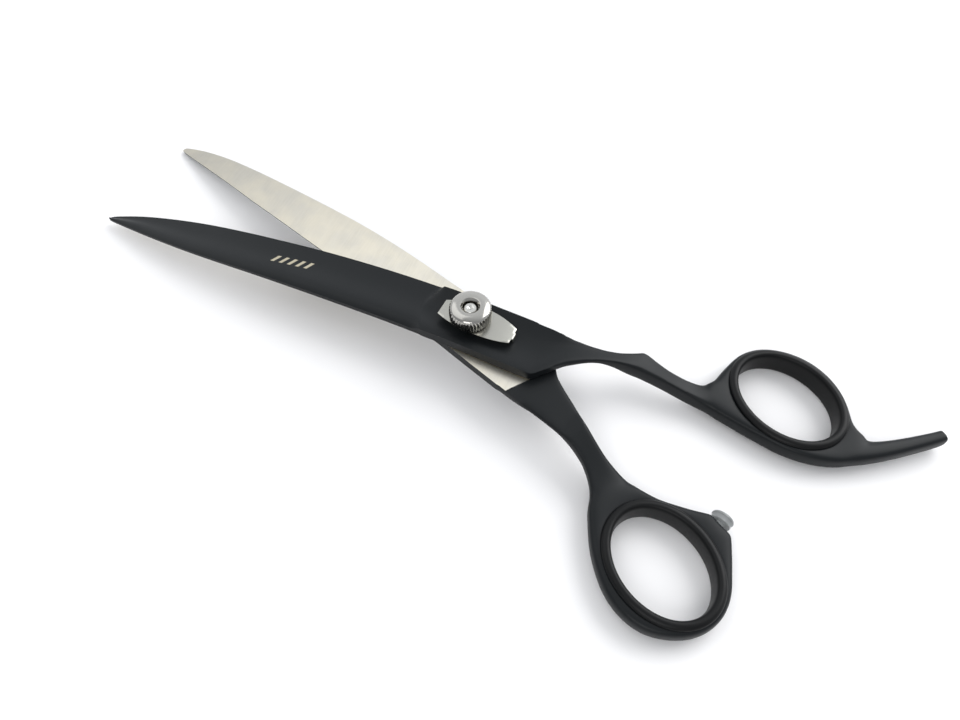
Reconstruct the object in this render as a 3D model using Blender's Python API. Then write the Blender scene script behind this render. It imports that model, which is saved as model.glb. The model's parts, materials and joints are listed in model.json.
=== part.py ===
"""Curved hair cutting shears with a leaf spring tension plate, resting open on a flat surface.

Sizes are in millimetres and become metres as each mesh is made. +Z is up, and the origin is the
middle of the open shears' footprint on the surface they lie on. Shapes are drawn from the pivot
axis, and each half as it lies when the shears are shut, with its blade along -X and its ring at
+X. The thumb half is then swung open.
"""

from math import cos, hypot, pi, radians, sin

import bmesh
import bpy
from mathutils import Matrix, Vector

MM = 0.001

# Blades
BLADE_REACH = 114.0  # pivot axis to blade tip
CUT_WIDTH = 6.0  # blade centreline to cutting edge
SPINE_WIDTH = 7.4  # blade centreline to spine
TIP_HALF_WIDTH = 0.45
BLADE_BOW = 0.5  # sideways bow of the blade in plan
BLADE_DROP = 9.0  # how far the tip curves down below the flat of the pivot
DROP_START = 12.0  # distance from the pivot axis where that curve starts
TIP_THICKNESS = 1.1
EDGE_THICKNESS = 0.3  # at the cutting edge
HOLLOW_GRIND = 0.12  # depth of the hollow in each blade's inner face
SPINE_BEVEL = 1.3  # width of the sloping face along the spine
OPENING_DEG = 16.6  # how far the shears are open at rest
PIVOT_Y = 9.7  # from the middle of the footprint to the pivot axis

# Ricasso, the flat of each half round the pivot, and shank
RICASSO_THICKNESS = 2.65
HEEL_X = -10.0  # where the ricasso steps out from the cutting edge
RIDE_END_X = 19.0  # end of the ground face that the other half rides on
RIDE_RELIEF = 0.25
FINGER_STEP_X = 29.5  # where the shank starts to reach across the contact plane
THUMB_STEP_X = 34.5
STEP_LENGTH = 3.5
FINGER_RAMP = (20.0, 65.0)  # each shank slopes down to its ring between these x
THUMB_RAMP = (28.0, 55.0)
FINGER_WEB_START = 52.0  # the shank starts to merge into the ring's web here
THUMB_WEB_START = 46.0
EDGE_ROUND = 1.0

# Rings
HOLE_LENGTH = 25.2
HOLE_WIDTH = 19.5
FINGER_RING_CENTRE = (77.1, 12.9)
FINGER_RING_TURN = -25.0
THUMB_RING_CENTRE = (68.3, -18.7)
THUMB_RING_TURN = -18.0
WEB_THICKNESS = 4.6
WEB_ROUND = 0.7
INSERT_WALL = 1.0
INSERT_LIP = 2.3  # how far a lip reaches out from the hole
LIP_THICKNESS = 0.75

# Bumper
BUMPER_DIAMETER = 5.2
BUMPER_PROUD = 1.95
BUMPER_ALONG = 4.9  # from the thumb ring's centre along the shears
BUMPER_FACE = 16.1  # from the thumb ring's centre to the boss's face
STEM_DIAMETER = 2.2
STEM_LENGTH = 3.4

# Pivot
BOLT_DIAMETER = 4.0
BOLT_FLATS = 3.2
THREAD_DIAMETER = 3.4
HEAD_DIAMETER = 8.4
HEAD_THICKNESS = 1.3
BUSH_WALL = 0.55
BUSH_FLANGE_DIAMETER = 8.2
BUSH_FLANGE_THICKNESS = 0.5
GLIDE_DIAMETER = 8.6
GLIDE_THICKNESS = 0.5
THRUST_DIAMETER = 7.2
THRUST_THICKNESS = 0.4
KNOB_DIAMETER = 10.4
KNOB_HEIGHT = 4.1
KNURL_HEIGHT = 2.5
KNURL_COUNT = 48
KNURL_DEPTH = 0.22
KNOB_MOUTH = 4.6  # chamfered mouth of the hole in the knob
BOLT_BELOW_KNOB = 0.9  # the bolt's end lies this far below the knob's top

# Leaf spring plate
LEAF_TURN = -4.5
LEAF_BACK = 7.8  # pivot axis to the end towards the blade
LEAF_FRONT = 11.5  # pivot axis to the end towards the handle
LEAF_HALF_WIDTH = 4.05
LEAF_END_HALF_WIDTH = 2.35
LEAF_THICKNESS = 0.45
LEAF_BOW = 0.5
TAB_WIDTH = 1.9
TAB_DEPTH = 0.9

# Clearances
GAP = 0.3  # between the halves and between pieces that turn
SEAT = 0.25  # between pieces that rest on each other
SINK = 0.3  # how deep joined shapes reach into each other

# Heights that follow
CONTACT_Z = BLADE_DROP + TIP_THICKNESS + GAP / 2
FLAT_TOP_Z = CONTACT_Z + GAP / 2 + RICASSO_THICKNESS
FLAT_BOTTOM_Z = CONTACT_Z - GAP / 2 - RICASSO_THICKNESS
WEB_BOTTOM_Z = LIP_THICKNESS + SEAT
WEB_TOP_Z = WEB_BOTTOM_Z + WEB_THICKNESS
INSERT_TOP_Z = WEB_TOP_Z + SEAT + LIP_THICKNESS
WEB_MIDDLE_Z = (WEB_BOTTOM_Z + WEB_TOP_Z) / 2

# Outlines of ricasso and shank: x, then the +Y and -Y sides of the half
FINGER_SIDES = [
    (-6.0, 6.8, -7.6),
    (3.0, 6.1, -8.1),
    (12.0, 5.6, -8.7),
    (19.0, 5.1, -9.1),
    (21.0, 4.9, -7.2),
    (25.0, 4.8, -3.4),
    (29.5, 4.8, -0.4),
    (33.0, 5.2, 1.5),
    (36.5, 6.3, 2.8),
    (39.5, 7.8, 3.4),
    (42.2, 9.0, 3.8),
    (45.5, 7.9, 4.0),
    (49.0, 7.2, 4.0),
    (53.0, 6.8, 3.6),
    (58.0, 6.9, 3.0),
    (63.0, 7.4, 2.4),
]
THUMB_SIDES = [
    (-6.0, 7.2, -7.7),
    (3.0, 7.6, -8.3),
    (12.0, 8.1, -8.8),
    (19.0, 8.4, -9.2),
    (21.0, 6.2, -9.25),
    (25.0, 1.8, -9.35),
    (29.0, -1.3, -9.5),
    (33.0, -3.7, -9.7),
    (37.8, -5.9, -10.5),
    (42.0, -7.4, -12.0),
    (46.0, -8.7, -13.9),
    (50.0, -9.9, -16.0),
    (54.0, -11.2, -18.0),
]

# Outline of each ring's metal web: direction from the ring's centre in degrees, and metal beyond the hole
FINGER_WEB = [
    (194.5, 14.2),
    (196.0, 10.0),
    (190.7, 6.3),
    (177.5, 4.2),
    (159.0, 3.0),
    (134.0, 2.6),
    (109.5, 2.9),
    (78.8, 2.4),
    (49.0, 2.5),
    (26.8, 2.2),
    (10.2, 2.2),
    (-2.7, 2.6),
    (-11.3, 4.3),
    (-12.9, 7.1),
    (-9.0, 10.3),
    (1.6, 17.0),
    (8.2, 23.3),
]
FINGER_REST_END = [(9.6, 24.8), (7.9, 26.0), (4.9, 24.9)]
FINGER_WEB_RETURN = [
    (1.4, 21.9),
    (-10.3, 14.8),
    (-23.3, 10.4),
    (-38.4, 7.6),
    (-51.5, 5.8),
    (-68.5, 4.5),
    (-86.3, 3.6),
    (-107.6, 3.2),
    (-131.8, 4.6),
    (-146.9, 7.6),
    (-156.2, 11.0),
    (-159.8, 14.2),
]
THUMB_WEB = [
    (148.0, 10.2),
    (136.0, 3.9),
    (122.0, 2.2),
    (108.0, 2.4),
    (96.0, 4.2),
    (87.5, 5.7),
]
THUMB_BOSS_END = [(63.5, 6.9)]
THUMB_WEB_RETURN = [
    (53.0, 5.0),
    (34.0, 3.2),
    (16.5, 2.9),
    (358.0, 3.1),
    (339.0, 2.9),
    (321.0, 3.1),
    (305.0, 3.6),
    (289.0, 4.4),
    (270.0, 4.6),
    (247.0, 4.5),
    (226.0, 4.2),
    (208.0, 4.4),
    (191.0, 5.4),
    (174.0, 8.4),
    (167.0, 12.0),
]


# ---- Curves and solids -----------------------------------------------------------------


def smoothstep(value, start, end):
    share = min(1.0, max(0.0, (value - start) / (end - start)))
    return share * share * (3 - 2 * share)


def mix(a, b, share):
    return a + (b - a) * share


def along(table, x):
    """The row of a table at x, straight between its rows."""
    for low, high in zip(table, table[1:]):
        if x <= high[0]:
            share = max(0.0, (x - low[0]) / (high[0] - low[0]))
            return [mix(a, b, share) for a, b in zip(low[1:], high[1:])]
    return list(table[-1][1:])


def rounded_path(points, steps):
    """An open Catmull-Rom curve through the points, both ends included."""
    ends = [points[0]] + points + [points[-1]]
    path = []
    for before, start, end, after in zip(ends, ends[1:], ends[2:], ends[3:]):
        for step in range(steps):
            t = step / steps
            path.append(
                tuple(
                    0.5
                    * (
                        2 * b
                        + (c - a) * t
                        + (2 * a - 5 * b + 4 * c - d) * t**2
                        + (3 * b - a - 3 * c + d) * t**3
                    )
                    for a, b, c, d in zip(before, start, end, after)
                )
            )
    return path + [tuple(points[-1])]


def oval(centre, turn_deg, margin, count):
    """Points round a ring's hole, moved out by margin."""
    turn = radians(turn_deg)
    points = []
    for step in range(count):
        angle = 2 * pi * step / count
        u = (HOLE_LENGTH / 2 + margin) * cos(angle)
        v = (HOLE_WIDTH / 2 + margin) * sin(angle)
        points.append(
            (
                centre[0] + u * cos(turn) - v * sin(turn),
                centre[1] + u * sin(turn) + v * cos(turn),
            )
        )
    return points


def beyond_hole(centre, turn_deg, direction_deg, metal):
    """The point that lies a given width of metal beyond the hole's edge."""
    angle = radians(direction_deg - turn_deg)
    radius = 1 / hypot(2 * cos(angle) / HOLE_LENGTH, 2 * sin(angle) / HOLE_WIDTH)
    direction = radians(direction_deg)
    reach = radius + metal
    return (centre[0] + reach * cos(direction), centre[1] + reach * sin(direction))


def solid(name, points, faces, material, parent, origin=(0, 0, 0)):
    """An object from points in millimetres, with its own origin."""
    centre = Vector(origin)
    mesh = bpy.data.meshes.new(name)
    mesh.from_pydata([(Vector(p) - centre) * MM for p in points], [], faces)
    shape = bmesh.new()
    shape.from_mesh(mesh)
    bmesh.ops.remove_doubles(shape, verts=shape.verts, dist=0.00001)
    bmesh.ops.recalc_face_normals(shape, faces=shape.faces)
    shape.to_mesh(mesh)
    shape.free()
    mesh.shade_smooth()
    mesh.set_sharp_from_angle(angle=radians(35))
    obj = bpy.data.objects.new(name, mesh)
    bpy.context.scene.collection.objects.link(obj)
    obj.location = centre * MM
    obj.parent = parent
    if material:
        mesh.materials.append(material)
    return obj


def loft(sections, closed=False):
    """Points and faces through sections of equal length, capped at both ends unless closed."""
    count = len(sections[0])
    points = [p for section in sections for p in section]
    faces = []
    spans = len(sections) if closed else len(sections) - 1
    for i in range(spans):
        first, second = i * count, (i + 1) % len(sections) * count
        for j in range(count):
            k = (j + 1) % count
            faces.append((first + j, first + k, second + k, second + j))
    if not closed:
        faces.append(tuple(range(count)))
        faces.append(tuple(range((len(sections) - 1) * count, len(sections) * count)))
    return points, faces


def turned(profile, segments, reach=None):
    """Points and faces of a closed profile (radius, height) turned about the Z axis.

    reach(angle, radius, height) gives the radius to use at an angle, where it isn't round."""
    sections = []
    for step in range(segments):
        angle = 2 * pi * step / segments
        section = []
        for radius, height in profile:
            r = reach(step, radius, height) if reach else radius
            section.append((r * cos(angle), r * sin(angle), height))
        sections.append(section)
    return loft(sections, closed=True)


def extruded(outline, low, high):
    """Points and faces of an outline extruded between two heights."""
    return loft([[(x, y, z) for x, y in outline] for z in (low, high)])


def boolean(target, other, operation):
    modifier = target.modifiers.new(operation.lower(), "BOOLEAN")
    modifier.operation = operation
    modifier.object = other
    other.hide_render = True
    other.display_type = "WIRE"


def cut(target, points_and_faces):
    cutter = solid(target.name + "_cutter", *points_and_faces, None, target.parent)
    boolean(target, cutter, "DIFFERENCE")


def material(name, red, green, blue, roughness, metallic):
    made = bpy.data.materials.new(name)
    made.use_nodes = True
    shader = made.node_tree.nodes["Principled BSDF"]
    shader.inputs["Base Color"].default_value = (red, green, blue, 1)
    shader.inputs["Roughness"].default_value = roughness
    shader.inputs["Metallic"].default_value = metallic
    made.diffuse_color = (red, green, blue, 1)
    return made


def disc(radius, count=40, x=0.0, y=0.0):
    return [
        (x + radius * cos(2 * pi * i / count), y + radius * sin(2 * pi * i / count))
        for i in range(count)
    ]


def flatted_disc(radius, half_flats, count=40):
    """A circle with two flats, parallel to X."""
    return [(x, max(-half_flats, min(half_flats, y))) for x, y in disc(radius, count)]


# ---- Surfaces of the two halves -----------------------------------------------------------


def contact_z(x, y):
    """The surface the halves meet on: flat, and on the blades' side turned about the pivot axis."""
    if x > 0:
        return CONTACT_Z
    share = max(0.0, (hypot(x, y) - DROP_START) / (BLADE_REACH - DROP_START))
    return CONTACT_Z - BLADE_DROP * share**2


def handle_z(x, side):
    """Bottom and top of a handle, sloping down from the pivot to the ring."""
    ramp = smoothstep(x, *(FINGER_RAMP if side > 0 else THUMB_RAMP))
    top = mix(FLAT_TOP_Z, WEB_TOP_Z, ramp)
    return min(FLAT_BOTTOM_Z, top - WEB_THICKNESS), top


def blade_thickness(x):
    share = smoothstep(-x, -HEEL_X, BLADE_REACH)
    return mix(RICASSO_THICKNESS, TIP_THICKNESS, share)


def blade_sides(x, side):
    """Cutting edge and spine of a blade, side being +1 where the edge faces +Y."""
    share = -x / BLADE_REACH
    edge = CUT_WIDTH * (1 - share**3.2) + TIP_HALF_WIDTH * share
    spine = SPINE_WIDTH * (1 - share**2.7) + TIP_HALF_WIDTH * share
    bow = BLADE_BOW * sin(pi * min(1.0, max(0.0, (share - 0.2) / 0.8))) ** 2
    return side * edge + bow, -side * spine + bow


def blade_section(x, side):
    """One section of a blade, which tapers from its ridge to its cutting edge."""
    edge_y, spine_y = blade_sides(x, side)
    thickness = blade_thickness(x)
    taper = min(1.0, (edge_y - spine_y) * side / (3 * SPINE_BEVEL))
    ridge_y = spine_y + side * SPINE_BEVEL * taper
    middle_y = (edge_y + spine_y) / 2
    heel = smoothstep(x, HEEL_X - 5, HEEL_X - 0.5)
    hollow = HOLLOW_GRIND * taper * (1 - heel)

    def lifted(y, height):
        return (x, y, contact_z(x, y) + side * (GAP / 2 + height))

    def on_slope(share):
        height = mix(EDGE_THICKNESS, thickness, share)
        return lifted(mix(edge_y, ridge_y, share), mix(height, thickness, heel))

    return [
        lifted(spine_y, 0),
        lifted(middle_y, hollow),
        lifted(edge_y, 0),
        on_slope(0),
        on_slope(0.34),
        on_slope(0.67),
        lifted(ridge_y, thickness),
        lifted(mix(ridge_y, spine_y, 0.55), thickness * 0.55),
    ]


def shank_section(x, side, sides):
    """One section of the ricasso or shank, from sharp corners at the heel to rounded ones."""
    high_y, low_y = along(sides, x)
    edge_y, spine_y = (high_y, low_y) if side > 0 else (low_y, high_y)
    step_x = FINGER_STEP_X if side > 0 else THUMB_STEP_X
    crossing = smoothstep(x, step_x, step_x + STEP_LENGTH)
    relief = RIDE_RELIEF if x > RIDE_END_X + 0.1 else 0.0
    rounding = EDGE_ROUND * smoothstep(x, 12, 36)
    bevel = mix(SPINE_BEVEL, EDGE_ROUND, smoothstep(x, 8, 30))
    middle_y = (edge_y + spine_y) / 2
    web_start = FINGER_WEB_START if side > 0 else THUMB_WEB_START
    sink = mix(-0.12, SINK, smoothstep(x, web_start, web_start + 6)) if x > web_start - 2 else 0
    bottom, top = handle_z(x, side)
    own, outer = (bottom + sink, top - sink) if side > 0 else (top - sink, bottom + sink)
    inner = mix(CONTACT_Z + side * (GAP / 2 + relief), own, crossing)

    def inset(y, amount):
        return y + amount if y < middle_y else y - amount

    corner = rounding * crossing
    return [
        (x, inset(spine_y, corner), inner),
        (x, middle_y, inner),
        (x, inset(edge_y, corner), inner),
        (x, edge_y, inner + side * max(0.3, corner)),
        (x, edge_y, outer - side * max(0.3, rounding)),
        (x, inset(edge_y, rounding), outer),
        (x, inset(spine_y, bevel), outer),
        (x, spine_y, mix(inner, outer, 0.3)),
    ]


def empty(name, location, turn_deg, parent=None):
    made = bpy.data.objects.new(name, None)
    bpy.context.scene.collection.objects.link(made)
    made.location = Vector(location) * MM
    made.rotation_euler = (0, 0, radians(turn_deg))
    made.parent = parent
    return made


def half_body(name, side, sides, finish, parent):
    """Blade, ricasso and shank of one half as one loft."""
    blade_stations = [-BLADE_REACH * (1 - (i / 24) ** 1.35 * 0.905) for i in range(25)]
    blade_stations = [x for x in blade_stations if x < HEEL_X - 1.2] + [HEEL_X - 1.2]
    first = sides[0][0]
    shank_stations = [HEEL_X, (HEEL_X + first) / 2]
    for low, high in zip(sides, sides[1:]):
        shank_stations += [low[0], (low[0] + high[0]) / 2]
    shank_stations += [sides[-1][0]]
    sections = [blade_section(x, side) for x in blade_stations]
    sections += [shank_section(x, side, sides) for x in sorted(shank_stations)]
    return solid(name, *loft(sections), finish, parent)


def ring_web(half, side, centre, turn, arcs):
    """The metal round a ring's hole, joined to the half. Each arc is rounded, with corners between."""
    outline = []
    for arc in arcs:
        outline += rounded_path([beyond_hole(centre, turn, *row) for row in arc], 3)
    web = solid(half.name + "_web", *extruded(outline, WEB_BOTTOM_Z, WEB_TOP_Z), None, half.parent)
    shape = bmesh.new()
    shape.from_mesh(web.data)
    rims = [e for e in shape.edges if abs(e.verts[0].co.z - e.verts[1].co.z) < 0.1 * MM]
    bmesh.ops.bevel(shape, geom=rims, offset=WEB_ROUND * MM, segments=2, profile=0.5, affect="EDGES")
    ramp_end = (FINGER_RAMP if side > 0 else THUMB_RAMP)[1]
    stations = [ramp_end - 4 * i for i in range(6)]
    for x in stations:
        everything = shape.verts[:] + shape.edges[:] + shape.faces[:]
        bmesh.ops.bisect_plane(shape, geom=everything, plane_co=(x * MM, 0, 0), plane_no=(1, 0, 0))
    rises = [(x, handle_z(x, side)[1] - WEB_TOP_Z) for x in reversed(stations)]
    for vert in shape.verts:
        vert.co.z += along(rises, vert.co.x / MM)[0] * MM
    shape.to_mesh(web.data)
    shape.free()
    boolean(half, web, "UNION")
    metal_hole = oval(centre, turn, INSERT_WALL + SEAT, 48)
    cut(half, extruded(metal_hole, -1, WEB_TOP_Z + 4))


# ---- The pieces ------------------------------------------------------------------------------


def make_finger_half(finish, parent):
    half = half_body("finger_half", 1, FINGER_SIDES, finish, parent)
    arcs = [FINGER_WEB, FINGER_REST_END, FINGER_WEB_RETURN]
    ring_web(half, 1, FINGER_RING_CENTRE, FINGER_RING_TURN, arcs)
    recess_top = CONTACT_Z - GAP / 2 + SEAT + GLIDE_THICKNESS + SEAT
    cut(half, extruded(disc(GLIDE_DIAMETER / 2 + GAP), CONTACT_Z - 1, recess_top))
    bore = flatted_disc(BOLT_DIAMETER / 2 + SEAT, BOLT_FLATS / 2 + SEAT)
    cut(half, extruded(bore, CONTACT_Z - 1, FLAT_TOP_Z + 1))
    slot = turned_box(
        LEAF_FRONT - LEAF_THICKNESS - SEAT,
        LEAF_FRONT + SEAT * 2,
        TAB_WIDTH / 2 + SEAT,
        FLAT_TOP_Z - TAB_DEPTH - SEAT,
        FLAT_TOP_Z + 1,
    )
    cut(half, slot)
    return half


def make_thumb_half(finish, parent):
    half = half_body("thumb_half", -1, THUMB_SIDES, finish, parent)
    arcs = [THUMB_WEB, THUMB_BOSS_END, THUMB_WEB_RETURN]
    ring_web(half, -1, THUMB_RING_CENTRE, THUMB_RING_TURN, arcs)
    bush_radius = BOLT_DIAMETER / 2 + GAP + BUSH_WALL
    cut(half, extruded(disc(bush_radius + SEAT), FLAT_BOTTOM_Z - 1, CONTACT_Z + 1))
    recess_top = FLAT_BOTTOM_Z + BUSH_FLANGE_THICKNESS + SEAT
    recess = disc(BUSH_FLANGE_DIAMETER / 2 + SEAT)
    cut(half, extruded(recess, FLAT_BOTTOM_Z - 1, recess_top))
    bore_depth = STEM_LENGTH + SEAT
    bore = extruded(disc(STEM_DIAMETER / 2 + SEAT, 24), -bore_depth, 2)
    cut(half, (bumper_placed(bore[0]), bore[1]))
    return half


def turned_box(low_x, high_x, half_width, low_z, high_z):
    """A box in line with the leaf plate."""
    turn = radians(LEAF_TURN)
    corners = [
        (low_x, -half_width),
        (high_x, -half_width),
        (high_x, half_width),
        (low_x, half_width),
    ]
    outline = [(x * cos(turn) - y * sin(turn), x * sin(turn) + y * cos(turn)) for x, y in corners]
    return extruded(outline, low_z, high_z)


def bumper_centre():
    return (
        THUMB_RING_CENTRE[0] + BUMPER_ALONG,
        THUMB_RING_CENTRE[1] + BUMPER_FACE,
        WEB_MIDDLE_Z,
    )


def bumper_placed(points):
    """Points drawn about Z, laid along +Y on the boss's face."""
    centre = Vector(bumper_centre())
    lay = Matrix.Rotation(radians(-90), 3, "X")
    return [tuple(centre + lay @ Vector(p)) for p in points]


def make_bumper(finish, parent):
    """A short soft spool with a rim, held by its stem."""
    rim = BUMPER_DIAMETER / 2
    waist = rim - 0.35
    stem = STEM_DIAMETER / 2
    profile = [
        (0, -STEM_LENGTH),
        (stem - 0.2, -STEM_LENGTH),
        (stem, -STEM_LENGTH + 0.2),
        (stem, SEAT),
        (waist, SEAT),
        (waist, BUMPER_PROUD * 0.6),
        (rim, BUMPER_PROUD * 0.7),
        (rim, BUMPER_PROUD - 0.25),
        (rim - 0.3, BUMPER_PROUD),
        (0, BUMPER_PROUD),
    ]
    points, faces = capped_turn(profile, 32)
    return solid("bumper", bumper_placed(points), faces, finish, parent)


def capped_turn(profile, segments):
    """A turned solid whose profile starts and ends on the axis."""
    points = [(0, 0, profile[0][1])]
    rings = profile[1:-1]
    for radius, height in rings:
        for step in range(segments):
            angle = 2 * pi * step / segments
            points.append((radius * cos(angle), radius * sin(angle), height))
    points.append((0, 0, profile[-1][1]))
    last = len(points) - 1
    faces = []
    for step in range(segments):
        after = (step + 1) % segments
        faces.append((0, 1 + after, 1 + step))
        for ring in range(len(rings) - 1):
            a, b = 1 + ring * segments, 1 + (ring + 1) * segments
            faces.append((a + step, a + after, b + after, b + step))
        top = 1 + (len(rings) - 1) * segments
        faces.append((top + step, top + after, last))
    return points, faces


def make_ring_insert(name, centre, turn, finish, parent):
    """A soft ring whose sleeve lines the hole and whose rounded lips cover both faces of the web."""
    low, high = LIP_THICKNESS, INSERT_TOP_Z - LIP_THICKNESS
    profile = [
        (0.0, low + 0.3),
        (0.0, high - 0.3),
        (0.3, INSERT_TOP_Z - 0.25),
        (0.95, INSERT_TOP_Z),
        (INSERT_LIP - 0.65, INSERT_TOP_Z - 0.1),
        (INSERT_LIP - 0.1, high + 0.3),
        (INSERT_LIP, high),
        (INSERT_WALL, high),
        (INSERT_WALL, low),
        (INSERT_LIP, low),
        (INSERT_LIP - 0.1, low - 0.3),
        (INSERT_LIP - 0.6, 0.0),
        (0.7, 0.0),
        (0.2, 0.3),
    ]
    rings = [oval(centre, turn, margin, 48) for margin, _ in profile]
    sections = []
    for step in range(48):
        sections.append([(*rings[i][step], profile[i][1]) for i in range(len(profile))])
    origin = (*centre, 0)
    return solid(name, *loft(sections, closed=True), finish, parent, origin)


def make_pivot_bolt(finish, parent):
    """Flat head under the thumb half, round shoulder, flats in the finger half, threaded end."""
    head_top = FLAT_BOTTOM_Z - SEAT
    head_bottom = head_top - HEAD_THICKNESS
    shoulder_top = CONTACT_Z + GAP / 2
    flats_top = thrust_z() + THRUST_THICKNESS
    top = knob_z() + KNOB_HEIGHT - BOLT_BELOW_KNOB
    profile = [
        (0, head_bottom),
        (HEAD_DIAMETER / 2 - 0.4, head_bottom),
        (HEAD_DIAMETER / 2, head_bottom + 0.4),
        (HEAD_DIAMETER / 2, head_top),
        (BOLT_DIAMETER / 2, head_top),
        (BOLT_DIAMETER / 2, flats_top),
        (THREAD_DIAMETER / 2, flats_top),
        (THREAD_DIAMETER / 2, top - 0.35),
        (THREAD_DIAMETER / 2 - 0.35, top),
        (0, top),
    ]
    bolt = solid("pivot_bolt", *capped_turn(profile, 40), finish, parent)
    outside = BOLT_DIAMETER
    for side in (-1, 1):
        near, far = side * BOLT_FLATS / 2, side * outside
        box = [(-outside, near), (outside, near), (outside, far), (-outside, far)]
        cut(bolt, extruded(box, shoulder_top, flats_top + 0.1))
    return bolt


def make_pivot_bush(finish, parent):
    """Flanged sleeve in the thumb half, which turns on the bolt's shoulder."""
    inner = BOLT_DIAMETER / 2 + GAP
    outer = inner + BUSH_WALL
    flange_low = FLAT_BOTTOM_Z
    profile = [
        (inner, flange_low),
        (inner, CONTACT_Z - GAP / 2 - 0.1),
        (outer, CONTACT_Z - GAP / 2 - 0.1),
        (outer, flange_low + BUSH_FLANGE_THICKNESS),
        (BUSH_FLANGE_DIAMETER / 2, flange_low + BUSH_FLANGE_THICKNESS),
        (BUSH_FLANGE_DIAMETER / 2, flange_low),
    ]
    return solid("pivot_bush", *turned(profile, 40), finish, parent)


def ring_profile(inner, outer, low, high):
    return [(inner, low), (inner, high), (outer, high), (outer, low)]


def make_glide_washer(finish, parent):
    low = CONTACT_Z - GAP / 2 + SEAT
    inner = BOLT_DIAMETER / 2 + GAP
    profile = ring_profile(inner, GLIDE_DIAMETER / 2, low, low + GLIDE_THICKNESS)
    return solid("glide_washer", *turned(profile, 40), finish, parent)


def leaf_z():
    """Top of the leaf plate at the middle of its bow."""
    return FLAT_TOP_Z + SEAT + LEAF_BOW + LEAF_THICKNESS


def thrust_z():
    return leaf_z() + SEAT


def knob_z():
    return leaf_z() + SEAT


def make_leaf_plate(finish, parent):
    """Boat-shaped bowed plate with a tab bent down into the slot in the finger half."""
    middle = (LEAF_FRONT - LEAF_BACK) / 2
    reach = (LEAF_FRONT + LEAF_BACK) / 2
    turn = radians(LEAF_TURN)
    stations = 14
    sections = []
    for i in range(stations + 1):
        share = 2 * i / stations - 1
        x = middle + reach * share
        half = mix(LEAF_HALF_WIDTH, LEAF_END_HALF_WIDTH, abs(share) ** 2.2)
        if i in (0, stations):
            half -= 0.45
        elif i in (1, stations - 1):
            half += 0.1
        low = FLAT_TOP_Z + SEAT + LEAF_BOW * (1 - share**2)
        section = []
        for y, z in ((-half, low), (half, low), (half, low + LEAF_THICKNESS), (-half, low + LEAF_THICKNESS)):
            section.append((x * cos(turn) - y * sin(turn), x * sin(turn) + y * cos(turn), z))
        sections.append(section)
    plate = solid("leaf_spring_plate", *loft(sections), finish, parent)
    tab = turned_box(
        LEAF_FRONT - LEAF_THICKNESS,
        LEAF_FRONT + SEAT,
        TAB_WIDTH / 2,
        FLAT_TOP_Z - TAB_DEPTH,
        FLAT_TOP_Z + SEAT + LEAF_THICKNESS * 0.8,
    )
    boolean(plate, solid("leaf_tab", *tab, None, parent), "UNION")
    cut(plate, extruded(disc(BOLT_DIAMETER / 2 + SEAT), FLAT_TOP_Z, leaf_z() + 1))
    return plate


def make_thrust_washer(finish, parent):
    """Washer keyed to the bolt's flats, so that turning the knob doesn't turn the plate."""
    low = thrust_z()
    washer = solid(
        "thrust_washer",
        *extruded(disc(THRUST_DIAMETER / 2), low, low + THRUST_THICKNESS),
        finish,
        parent,
    )
    hole = flatted_disc(BOLT_DIAMETER / 2 + SEAT, BOLT_FLATS / 2 + SEAT)
    cut(washer, extruded(hole, low - 1, low + 2))
    return washer


def make_tension_knob(finish, parent):
    """Thumb nut with a straight knurl, a rounded polished top and a hole that shows the bolt's end."""
    low = knob_z()
    top = low + KNOB_HEIGHT
    radius = KNOB_DIAMETER / 2
    bore = THREAD_DIAMETER / 2 + SEAT
    recess = THRUST_DIAMETER / 2 + GAP
    recess_top = low + THRUST_THICKNESS + SEAT
    knurl_top = low + KNURL_HEIGHT
    profile = [
        (bore, recess_top),
        (bore, top - 0.45),
        (KNOB_MOUTH / 2, top),
        (radius - 1.9, top),
        (radius - 1.0, top - 0.3),
        (radius - 0.35, top - 0.8),
        (radius, knurl_top + 0.35),
        (radius, knurl_top + 0.05),
        (radius - KNURL_DEPTH / 2, knurl_top),
        (radius - KNURL_DEPTH / 2, low + 0.2),
        (radius - 0.35, low),
        (recess, low),
        (recess, recess_top),
    ]
    knurled = {profile[8], profile[9]}

    def reach(step, r, z):
        if (r, z) in knurled:
            return r + (KNURL_DEPTH / 2 if step % 2 else -KNURL_DEPTH / 2)
        return r

    return solid("tension_knob", *turned(profile, 2 * KNURL_COUNT, reach), finish, parent)


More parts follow.
